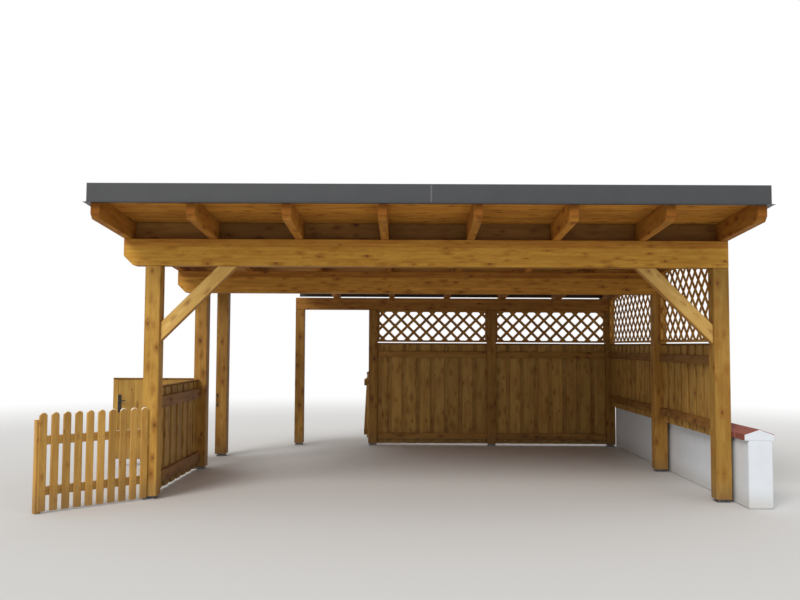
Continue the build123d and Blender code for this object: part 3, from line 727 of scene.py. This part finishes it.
anthracite = coated_sheet("coated_anthracite_sheet", (0.042, 0.044, 0.048))
strip_grey = coated_sheet("coated_strip_sheet", (0.100, 0.103, 0.108))
dress(anthracite, "fascia_front", "fascia_sides", "fascia_rear")

low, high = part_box("fascia_front")
face = high.y - FASCIA_THICKNESS
tall = high.z - low.z - 2 * DRIP_FOLD
corner = (STRIP_MIDDLE - STRIP_WIDTH / 2, face - STRIP_RAISED, low.z + DRIP_FOLD)
cover_strip = Pieces("fascia_cover_strips", 95)
cover_strip.cut(oblong(tall, STRIP_WIDTH), STRIP_RAISED, lay(corner, UP, ALONG_X), STRIP_ARRIS)
cover_strip.deliver(strip_grey, "carport", "fascia")

# Rain goods: a half-round gutter on the low edge, its swan neck and its down pipe, of coated sheet
# metal in a grey lighter than the fascia's. Flat steel brackets and clamps carry them.
gutter_grey = coated_sheet("coated_gutter_sheet", (0.125, 0.128, 0.133), 0.38)
dress(gutter_grey, "gutter", "swan_neck", "downpipe")
dress(zinc, "gutter_brackets", "pipe_clamps")

# Board walls: upright boards in two layers behind level rails, under a thin cap. The inner boards
# stand apart, and the outer ones cover their gaps. Screws hold each board at each rail, and each is
# given by its radius, height, sides and the rise of its head.
BOARD_WIDTH = 0.165
BOARD_PITCH = 0.233
BOARD_THICKNESS = 0.020
BOARD_ARRIS = 0.004
# Each layer of boards draws its own random tones; the outer layer, set back behind the inner one, is darker:
# painted shade in the recesses.
BOARD_TONES_AND_RECESS_SHADE = ((0.35, 1.0), (0.1, 0.65))
RAIL_ARRIS = 0.004
CAP = 0.020
CAP_OVERHANG = 0.018
SCREW = (0.0045, 0.0006, 8, 0.0012)
SCREW_EDGE = 0.035
SCREW_STRAY_UP = 0.006
SCREW_STRAY_ALONG = 0.004


def coated_steel(name, colour, roughness):
    """Powder-coated steel with a fine orange-peel surface and dust on it."""
    material, wire = new_finish(name)
    place = wire.place()
    dust = wire.noise(place, 22.0, 4.0, 0.6).rise(0.4, 0.8)
    peel = wire.noise(place, 900.0, 1.0)
    coat(
        material,
        {
            "Base Color": (dust * 0.4).between((*colour, 1), (0.060, 0.057, 0.052, 1)),
            "Metallic": 0.2,
            "Roughness": roughness + dust * 0.2,
            "Normal": wire.relief(peel, 0.2, 0.0006),
        },
    )
    return material


screw_steel = coated_steel("yellowed_screw_steel", (0.23, 0.17, 0.08), 0.35)
screws = bmesh.new()
board_spruce = stained_spruce(
    "stained_board_spruce", (0.50, 0.308, 0.080), (0.34, 0.174, 0.039), 0.022, faint=0.45
)
cap_spruce = stained_spruce(
    "stained_cap_spruce", (0.30, 0.155, 0.034), (0.21, 0.095, 0.018), 0.010, matt=0.3
)
# The side walls' rails take a darker copy of the stain: painted shade.
shaded_side_rail_spruce = stained_spruce("shaded_side_rail_spruce", (0.315, 0.155, 0.038), (0.196, 0.084, 0.017), 0.021)


def board_wall(wall, rail_levels, low, high, run, outward):
    """One bay of boards. run is the axis along the wall, outward the sign of its outer side."""
    side = 1 - run
    count = round((high[run] - low[run] - BOARD_WIDTH) / BOARD_PITCH) + 1
    pitch = (high[run] - low[run] - BOARD_WIDTH) / (count - 1)
    inner = low[side] if outward > 0 else high[side]
    screw_spots = ((BOARD_WIDTH / 2,), (SCREW_EDGE, BOARD_WIDTH - SCREW_EDGE))
    for layer in (0, 1):
        near = inner + outward * layer * BOARD_THICKNESS
        far = near + outward * BOARD_THICKNESS
        for i in range(count - layer):
            start = low[run] + (i + layer / 2) * pitch
            board_low = low.copy()
            board_high = high.copy()
            board_low[run] = start
            board_high[run] = start + BOARD_WIDTH
            board_low[side] = min(near, far)
            board_high[side] = max(near, far)
            board_high.z -= CAP
            wall.block(board_low, board_high, 2, BOARD_ARRIS, BOARD_TONES_AND_RECESS_SHADE[layer])
            for level in rail_levels:
                for spot in screw_spots[layer]:
                    stray_up = wall.draw.uniform(-SCREW_STRAY_UP, SCREW_STRAY_UP)
                    head = Vector((0, 0, level + stray_up))
                    head[run] = start + spot + wall.draw.uniform(-SCREW_STRAY_ALONG, SCREW_STRAY_ALONG)
                    head[side] = far
                    disc(screws, head, AXES[side] * outward, *SCREW)


def wall_parts(prefix, seed, run, outward, rail_finish):
    """The boards, caps and rails of one wall, in as many bays as the frame has."""
    side = 1 - run
    rail_boxes = solids(f"{prefix}_rails")
    rail_levels = sorted({round((low.z + high.z) / 2, 3) for low, high in rail_boxes})
    boards = Pieces(f"{prefix}_wall_boards", seed)
    caps = Pieces(f"{prefix}_wall_caps", seed + 2)
    for low, high in solids(f"{prefix}_boards"):
        board_wall(boards, rail_levels, low, high, run, outward)
        low.z = high.z - CAP
        if outward > 0:
            low[side] -= CAP_OVERHANG
        else:
            high[side] += CAP_OVERHANG
        caps.block(low, high, run)
    boards.deliver(board_spruce, "carport", "timber", f"{prefix}_boards")
    caps.deliver(cap_spruce, "carport", "timber")
    rails = Pieces(f"{prefix}_wall_rails", seed + 1)
    for low, high in rail_boxes:
        rails.block(low, high, run, RAIL_ARRIS)
    rails.deliver(rail_finish, "carport", "timber", f"{prefix}_rails")


wall_parts("rear", 101, 0, 1, shaded_inner_spruce)
wall_parts("right", 111, 1, 1, shaded_side_rail_spruce)
wall_parts("left", 121, 1, -1, shaded_side_rail_spruce)

# Lattice: flat slats at 45 degrees in two crossed layers, let into a slim frame, above the boards. The
# right wall's panels close it up to the last rafter, so their heads fall with the roof.
SLAT_WIDTH = 0.042
SLAT_THICKNESS = 0.009
SLAT_PITCH = 0.200
SLAT_ARRIS = 0.0015
SLAT_INSET = 0.001
FRAME_WIDTH = 0.030
FRAME_ARRIS = 0.002
SLAT_SEAT = FRAME_WIDTH / 2
HEAD_GAP = 0.010

# The rear lattice takes a darker copy of the slat stain, painted shade, and the right wall's a lighter copy,
# painted light.
slat_spruce = stained_spruce("shaded_slat_spruce", (0.50, 0.255, 0.048), (0.31, 0.135, 0.020), 0.010)
lit_side_slat_spruce = stained_spruce("lit_side_slat_spruce", (0.64, 0.350, 0.066), (0.40, 0.180, 0.028), 0.010)


def panel_frame(panel, low, high, run, near_head, lean_head):
    """The four members round a lattice. The upper one follows the head."""
    side = 1 - run
    length = high[run] - low[run]
    width = FRAME_WIDTH * math.sqrt(1 + lean_head**2)
    foot = low.z + FRAME_WIDTH
    inner = length - FRAME_WIDTH

    def head(u):
        return near_head - lean_head * u

    members = (
        [(0, low.z), (length, low.z), (length, foot), (0, foot)],
        [(0, head(0) - width), (length, head(length) - width), (length, head(length)), (0, head(0))],
        [(0, foot), (0, head(0) - width), (FRAME_WIDTH, head(FRAME_WIDTH) - width), (FRAME_WIDTH, foot)],
        [(inner, foot), (inner, head(inner) - width), (length, head(length) - width), (length, foot)],
    )
    for corners in members:
        points = []
        for u, z in corners:
            point = AXES[run] * (low[run] + u) + UP * z
            point[side] = high[side]
            points.append(point)
        along = (points[1] - points[0]).normalized()
        place = lay(points[0], along, (-AXES[side]).cross(along))
        panel.cut_points(points, high[side] - low[side], place, FRAME_ARRIS)


def lattice(panel, low, high, run, near_head, lean_head):
    """One framed panel whose head starts at near_head and falls by lean_head per metre along the wall."""
    side = 1 - run
    level = AXES[run]
    panel_frame(panel, low, high, run, near_head, lean_head)
    length = high[run] - low[run]
    height = near_head - low.z
    reach = math.ceil((length + height) / SLAT_PITCH / 2)
    half_run = length / 2 - SLAT_SEAT
    for layer, lean in ((0, -1), (1, 1)):
        for k in range(-reach, reach + 1):
            shift = k * SLAT_PITCH
            middle = length / 2 + shift
            under_head = (height / 2 - SLAT_SEAT - lean_head * middle) / (1 + lean_head * lean)
            first = max(SLAT_SEAT - height / 2, -half_run - lean * shift)
            last = min(under_head, half_run - lean * shift)
            if last - first < SLAT_WIDTH:
                continue
            along = (level * lean + UP).normalized()
            across = (-AXES[side]).cross(along)
            start = level * (low[run] + middle + lean * first)
            start.z = low.z + height / 2 + first
            start[side] = high[side] - SLAT_INSET - layer * SLAT_THICKNESS
            place = lay(start - across * SLAT_WIDTH / 2, along, across)
            outline = oblong((last - first) * math.sqrt(2), SLAT_WIDTH)
            panel.cut(outline, SLAT_THICKNESS, place, SLAT_ARRIS)


panels = Pieces("rear_lattice_slats", 131)
for low, high in solids("rear_lattice"):
    lattice(panels, low, high, 0, high.z, 0.0)
panels.deliver(slat_spruce, "carport", "timber", "rear_lattice")

panels = Pieces("right_lattice_slats", 141)
for low, high in solids("right_lattice"):
    lattice(panels, low, high, 1, rafter_foot(low.y) - HEAD_GAP, slope)
panels.deliver(lit_side_slat_spruce, "carport", "timber", "right_lattice")

# Low wall: masonry in smooth white plaster, a little stained along the ground. Its coping is laid
# from red clay slabs with two falls, on a mortar bed that shows in the narrow joints.
WALL_ARRIS = 0.010
COPING_SLAB = 0.245
COPING_JOINT = 0.008
COPING_EDGE = 0.060
COPING_ARRIS = 0.004
BED_SIDE = 0.004
BED_TOP = 0.005
BED_END = 0.002


def white_plaster(name):
    """Trowelled white plaster: soft waves, fine grit, and splash along the foot."""
    material, wire = new_finish(name)
    place = wire.place()
    height = place.split()[2]
    wave = wire.noise(place, 5.0, 4.0, 0.55)
    grit = wire.noise(place, 260.0, 3.0)
    stain = (1 - (height + wave * 0.15).rise(0.06, 0.30)) * 0.55
    colour = (wave.rise(0.35, 0.7) * 0.5).between((0.73, 0.775, 0.83, 1), (0.66, 0.70, 0.75, 1))
    coat(
        material,
        {
            "Base Color": stain.between(colour, (0.47, 0.44, 0.39, 1)),
            "Roughness": 0.88,
            "Normal": wire.relief(wave * 0.8 + grit * 0.25, 0.35, 0.006),
        },
    )
    return material


def fired_clay(name):
    """Red clay slabs: each one its own shade, with a sandy surface and pale lime bloom."""
    material, wire = new_finish(name)
    place = wire.place()
    tone = wire.kept("tone")
    cloud = wire.noise(place, 12.0, 4.0, 0.6)
    grit = wire.noise(place, 380.0, 2.0)
    colour = (tone * 0.6 + cloud * 0.4).between((0.29, 0.075, 0.048, 1), (0.20, 0.050, 0.036, 1))
    colour = (cloud.rise(0.55, 0.85) * 0.3).between(colour, (0.42, 0.27, 0.22, 1))
    coat(
        material,
        {
            "Base Color": colour.dim(0.9 + grit * 0.2),
            "Roughness": 0.74 + cloud * 0.12,
            "Normal": wire.relief(cloud * 0.5 + grit * 0.5, 0.4, 0.002),
        },
    )
    return material


def coping_profile(width, height, side=0.0, top=0.0):
    """A coping's two falls, or the mortar's, which stays inside it at the sides and under the top."""
    edge = COPING_EDGE - top
    return [(side, 0), (width - side, 0), (width - side, edge), (width / 2, height - top), (side, edge)]


plaster = white_plaster("white_wall_plaster")
wall = Pieces("plastered_wall", 151)
wall.block(*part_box("low_wall"), 1, WALL_ARRIS)
wall.deliver(plaster, "carport", "plaster", "low_wall")

low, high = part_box("wall_coping")
width = high.x - low.x
height = high.z - low.z
count = round((high.y - low.y) / COPING_SLAB)
pitch = (high.y - low.y) / count
slabs = Pieces("coping_slabs", 161)
for i in range(count):
    back = high.y - i * pitch - COPING_JOINT / 2
    place = lay((low.x, back, low.z), ALONG_X, UP)
    slabs.cut(coping_profile(width, height), pitch - COPING_JOINT, place, COPING_ARRIS)
slabs.deliver(fired_clay("red_clay_slab"), "carport", "coping", "wall_coping")
bed = Pieces("coping_mortar", 171)
place = lay((low.x, high.y - BED_END, low.z), ALONG_X, UP)
bed.cut(coping_profile(width, height, BED_SIDE, BED_TOP), high.y - low.y - 2 * BED_END, place, 0)
bed.deliver(plaster, "carport", "plaster")

# Picket fence: round-headed pickets screwed to two rails, between the front left post and a small end
# post. What faces up on them is painted pale: a painted highlight of the light on their heads.
FENCE_ANGLE = math.radians(44)
PICKET_WIDTH = 0.075
PICKET_THICKNESS = 0.020
PICKET_ARRIS = 0.006
PICKET_SCREW = 0.018
END_POST_ARRIS = 0.004
RAIL_THICKNESS = 0.030
HEAD_STEPS = 12
fence_run = Vector((-math.cos(FENCE_ANGLE), -math.sin(FENCE_ANGLE), 0))
fence_back = Vector((-math.sin(FENCE_ANGLE), math.cos(FENCE_ANGLE), 0))

picket_spruce = stained_spruce(
    "stained_picket_spruce", (0.66, 0.385, 0.096), (0.46, 0.235, 0.050), 0.012, painted_top_light=0.9, faint=0.45
)
pickets = Pieces("picket_boards", 181)
picket_boxes = solids("fence_pickets")
rail_boxes = solids("fence_rails")
for low, high in picket_boxes:
    middle = (low + high) / 2
    radius = PICKET_WIDTH / 2
    shoulder = high.z - low.z - radius
    outline = [(0, 0), (shoulder, 0)]
    for i in range(1, HEAD_STEPS):
        turned = math.pi * i / HEAD_STEPS
        outline.append((shoulder + radius * math.sin(turned), radius - radius * math.cos(turned)))
    outline += [(shoulder, PICKET_WIDTH), (0, PICKET_WIDTH)]
    corner = middle + fence_run * radius - fence_back * PICKET_THICKNESS / 2
    corner.z = low.z
    pickets.cut(outline, PICKET_THICKNESS, lay(corner, UP, -fence_run), PICKET_ARRIS)
    for rail_low, rail_high in rail_boxes:
        for side in (-1, 1):
            head = middle - fence_back * PICKET_THICKNESS / 2 + fence_run * side * PICKET_SCREW
            head.z = (rail_low.z + rail_high.z) / 2
            disc(screws, head, -fence_back, *SCREW)
pickets.deliver(picket_spruce, "carport", "timber", "fence_pickets")

low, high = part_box("fence_end_post")
end_size = (high.x - low.x) / (math.cos(FENCE_ANGLE) + math.sin(FENCE_ANGLE))
corner = (low + high) / 2 - (fence_run - fence_back) * end_size / 2
corner.z = low.z
end_post = Pieces("fence_end_post_timber", 191)
end_post.cut(oblong(high.z - low.z, end_size), end_size, lay(corner, UP, fence_run), END_POST_ARRIS)
end_post.deliver(picket_spruce, "carport", "timber", "fence_end_post")

first = (picket_boxes[-1][0] + picket_boxes[-1][1]) / 2 + fence_back * PICKET_THICKNESS / 2
post_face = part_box("post_front_left")[0].y
slant = RAIL_THICKNESS * math.cos(FENCE_ANGLE) / math.sin(FENCE_ANGLE)
fence_rails = Pieces("fence_rail_timbers", 201)
for low, high in rail_boxes:
    base = Vector((first.x, first.y, low.z))
    start = base + fence_run * ((post_face - base.y) / fence_run.y)
    to_end = (corner - start).dot(fence_run)
    outline = [(slant, 0), (to_end, 0), (to_end, RAIL_THICKNESS), (0, RAIL_THICKNESS)]
    place = lay(start + fence_back * RAIL_THICKNESS, fence_run, -fence_back)
    fence_rails.cut(outline, high.z - low.z, place)
fence_rails.deliver(picket_spruce, "carport", "timber", "fence_rails")

# Gates: two low leaves of upright boards on a ledged and braced frame, under a thin cap. The side gate
# stands open against the post row, and the rear one is folded back beside its post.
GATE_EDGE_BOARD = 0.065
GATE_BOARD = 0.211
GATE_STEP = 0.004
GATE_CAP_OVERHANG = 0.007
GATE_RAIL = 0.100
GATE_BRACE = 0.090
GATE_BRACE_SETBACK = 0.090
GATE_FRAME_ARRIS = 0.004
TOUCHING = 0.001

gate_spruce = stained_spruce("stained_gate_spruce", (0.53, 0.337, 0.079), (0.35, 0.183, 0.036), 0.014)


def gate_boards(prefix, seed, run, hinge_sign):
    """A leaf's boards and its cap. Every other board is a step back, on the face away from the frame."""
    low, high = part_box(f"{prefix}_boards")
    side = 1 - run
    frame_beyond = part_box(f"{prefix}_frame")[0][side] > low[side] + TOUCHING
    span = high[run] - low[run]
    ends = [0.0, GATE_EDGE_BOARD]
    while ends[-1] + GATE_BOARD < span:
        ends.append(ends[-1] + GATE_BOARD)
    ends.append(span)
    boards = Pieces(f"{prefix}_board_set", seed)
    for i, (near, far) in enumerate(zip(ends, ends[1:])):
        board_low = low.copy()
        board_high = high.copy()
        board_high.z -= CAP
        board_low[run] = low[run] + near if hinge_sign < 0 else high[run] - far
        board_high[run] = low[run] + far if hinge_sign < 0 else high[run] - near
        if i % 2 and frame_beyond:
            board_low[side] += GATE_STEP
        elif i % 2:
            board_high[side] -= GATE_STEP
        boards.block(board_low, board_high, 2)
    boards.deliver(gate_spruce, prefix, "timber", f"{prefix}_boards")
    cap = Pieces(f"{prefix}_cap", seed + 2)
    low.z = high.z - CAP
    low[side] -= GATE_CAP_OVERHANG
    high[side] += GATE_CAP_OVERHANG
    cap.block(low, high, run)
    cap.deliver(cap_spruce, prefix, "timber")


def gate_frame(prefix, seed, run, hinge_sign):
    """Two ledges, and a brace that rises from the hinge's side between them."""
    low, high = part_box(f"{prefix}_frame")
    framed = Pieces(f"{prefix}_ledges", seed)
    for foot in (low.z, high.z - GATE_RAIL):
        ledge_low = low.copy()
        ledge_high = high.copy()
        ledge_low.z = foot
        ledge_high.z = foot + GATE_RAIL
        framed.block(ledge_low, ledge_high, run, GATE_FRAME_ARRIS)
    hinge = high[run] if hinge_sign < 0 else low[run]
    reach = high[run] - low[run] - GATE_BRACE_SETBACK
    foot = low.z + GATE_RAIL
    head = high.z - GATE_RAIL
    lower_middle = low.z + GATE_RAIL / 2
    upper_middle = high.z - GATE_RAIL / 2
    near_edge = (0, reach - GATE_BRACE)
    far_edge = (GATE_BRACE, reach)
    points = []
    for (base, top), level in ((near_edge, foot), (far_edge, foot), (far_edge, head), (near_edge, head)):
        share = (level - lower_middle) / (upper_middle - lower_middle)
        point = low.copy()
        point[run] = hinge + hinge_sign * (base + (top - base) * share)
        point.z = level
        points.append(point)
    along = (points[3] - points[0]).normalized()
    out = AXES[1 - run]
    place = lay(points[0], along, out.cross(along))
    framed.cut_points(points, high[1 - run] - low[1 - run], place, GATE_FRAME_ARRIS)
    framed.deliver(gate_spruce, prefix, "timber", f"{prefix}_frame")


# Each leaf runs along an axis, X or Y, and lies from its hinge in the sign's direction.
for prefix, seed, run, hinge_sign in (("side_gate", 211, 0, -1), ("rear_gate", 221, 1, 1)):
    gate_boards(prefix, seed, run, hinge_sign)
    gate_frame(prefix, seed + 1, run, hinge_sign)

# Ironwork: black powder-coated straps, hinge pins on plates, a lock with levers on both faces, and its
# strike plate on the house post. The screws set in the walls and the fence become one piece here.
black_steel = coated_steel("black_coated_steel", (0.010, 0.010, 0.011), 0.46)
dress(
    black_steel, "side_gate_straps", "side_gate_lock", "rear_gate_straps", "hinge_hooks", "strike_plate"
)
deliver_mesh("wall_and_fence_screws", screws, screw_steel, "carport", "steel")

# Studio: a plain pale floor that fades into a white surround, a broad soft key from the front left,
# and even light from all round.
FLOOR_HALF = 60.0
FLOOR_DROP = 0.0005
FLOOR_MIDDLE = (2.9, 2.0, 0.0)
FADE = (7.0, 16.0)
WHITE = (1, 1, 1, 1)
SURROUND = 0.74
KEY_STRENGTH = 1.60
KEY_COLOUR = (1.0, 0.97, 0.92)
KEY_SOFTNESS = math.radians(25)
KEY_TILT = math.radians(52)
KEY_TURN = math.radians(-32)


def pale_floor(name):
    """Pale floor that fades to the white surround away from the object."""
    material, wire = new_finish(name)
    flat = wire.place().vectors("MULTIPLY", (1.0, 1.0, 0.0))
    away = flat.vectors("DISTANCE", FLOOR_MIDDLE, output="Value").rise(*FADE)
    seen = wire.node("ShaderNodeLightPath", output="Is Camera Ray")
    glossy = wire.node("ShaderNodeLightPath", output="Is Glossy Ray")
    coat(material, {"Base Color": (0.66, 0.66, 0.655, 1), "Roughness": 0.9, "Specular IOR Level": 0.1})
    white = wire.node("ShaderNodeEmission", sockets={"Color": WHITE, "Strength": 1.0})
    nodes = material.node_tree.nodes
    plain = Wire(material.node_tree, nodes["Principled BSDF"].outputs[0])
    share = away * seen.math("MAXIMUM", glossy)
    mixed = wire.node("ShaderNodeMixShader", sockets={0: share, 1: plain, 2: white})
    wire.plug(nodes["Material Output"], {"Surface": mixed})
    return material


ground = bmesh.new()
bmesh.ops.create_grid(ground, x_segments=2, y_segments=2, size=FLOOR_HALF)
ground_data = bpy.data.meshes.new("studio_floor")
ground.to_mesh(ground_data)
ground.free()
ground_data.materials.append(pale_floor("pale_studio_floor"))
studio_floor = bpy.data.objects.new("studio_floor", ground_data)
studio_floor.location.z = -FLOOR_DROP
bpy.context.scene.collection.objects.link(studio_floor)

world = bpy.data.worlds.new("studio_world")
world.use_nodes = True
bpy.context.scene.world = world
sky = Wire(world.node_tree)
seen = sky.node("ShaderNodeLightPath", output="Is Camera Ray")
mirrored = sky.node("ShaderNodeLightPath", output="Is Glossy Ray")
through = sky.node("ShaderNodeLightPath", output="Is Transmission Ray")
shown = seen.math("MAXIMUM", mirrored.math("MAXIMUM", through))
strength = SURROUND + shown * (1.0 - SURROUND)
sky.plug(world.node_tree.nodes["Background"], {"Color": WHITE, "Strength": strength})

key_data = bpy.data.lights.new("soft_key", "SUN")
key_data.energy = KEY_STRENGTH
key_data.angle = KEY_SOFTNESS
key_data.color = KEY_COLOUR
key = bpy.data.objects.new("soft_key", key_data)
key.rotation_euler = (KEY_TILT, 0, KEY_TURN)
bpy.context.scene.collection.objects.link(key)

# Camera: at eye height in front of the bay, at the angle and distance of the reference view. It looks
# along Y, raised, turned and rolled a little.
EYE = (2.628, -8.605, 1.592)
FOCAL = 37.05
SENSOR = 36.0
PITCH = 0.0549
YAW = 0.0064
ROLL = 0.0051
camera_data = bpy.data.cameras.new("eye_height_camera")
camera_data.lens = FOCAL
camera_data.sensor_width = SENSOR
camera = bpy.data.objects.new("eye_height_camera", camera_data)
raised = Matrix.Rotation(math.pi / 2 + PITCH, 4, "X")
turn = Matrix.Rotation(YAW, 4, "Z") @ raised @ Matrix.Rotation(ROLL, 4, "Z")
camera.matrix_world = Matrix.Translation(EYE) @ turn
bpy.context.scene.collection.objects.link(camera)
bpy.context.scene.camera = camera
bpy.context.scene.view_settings.view_transform = "Standard"
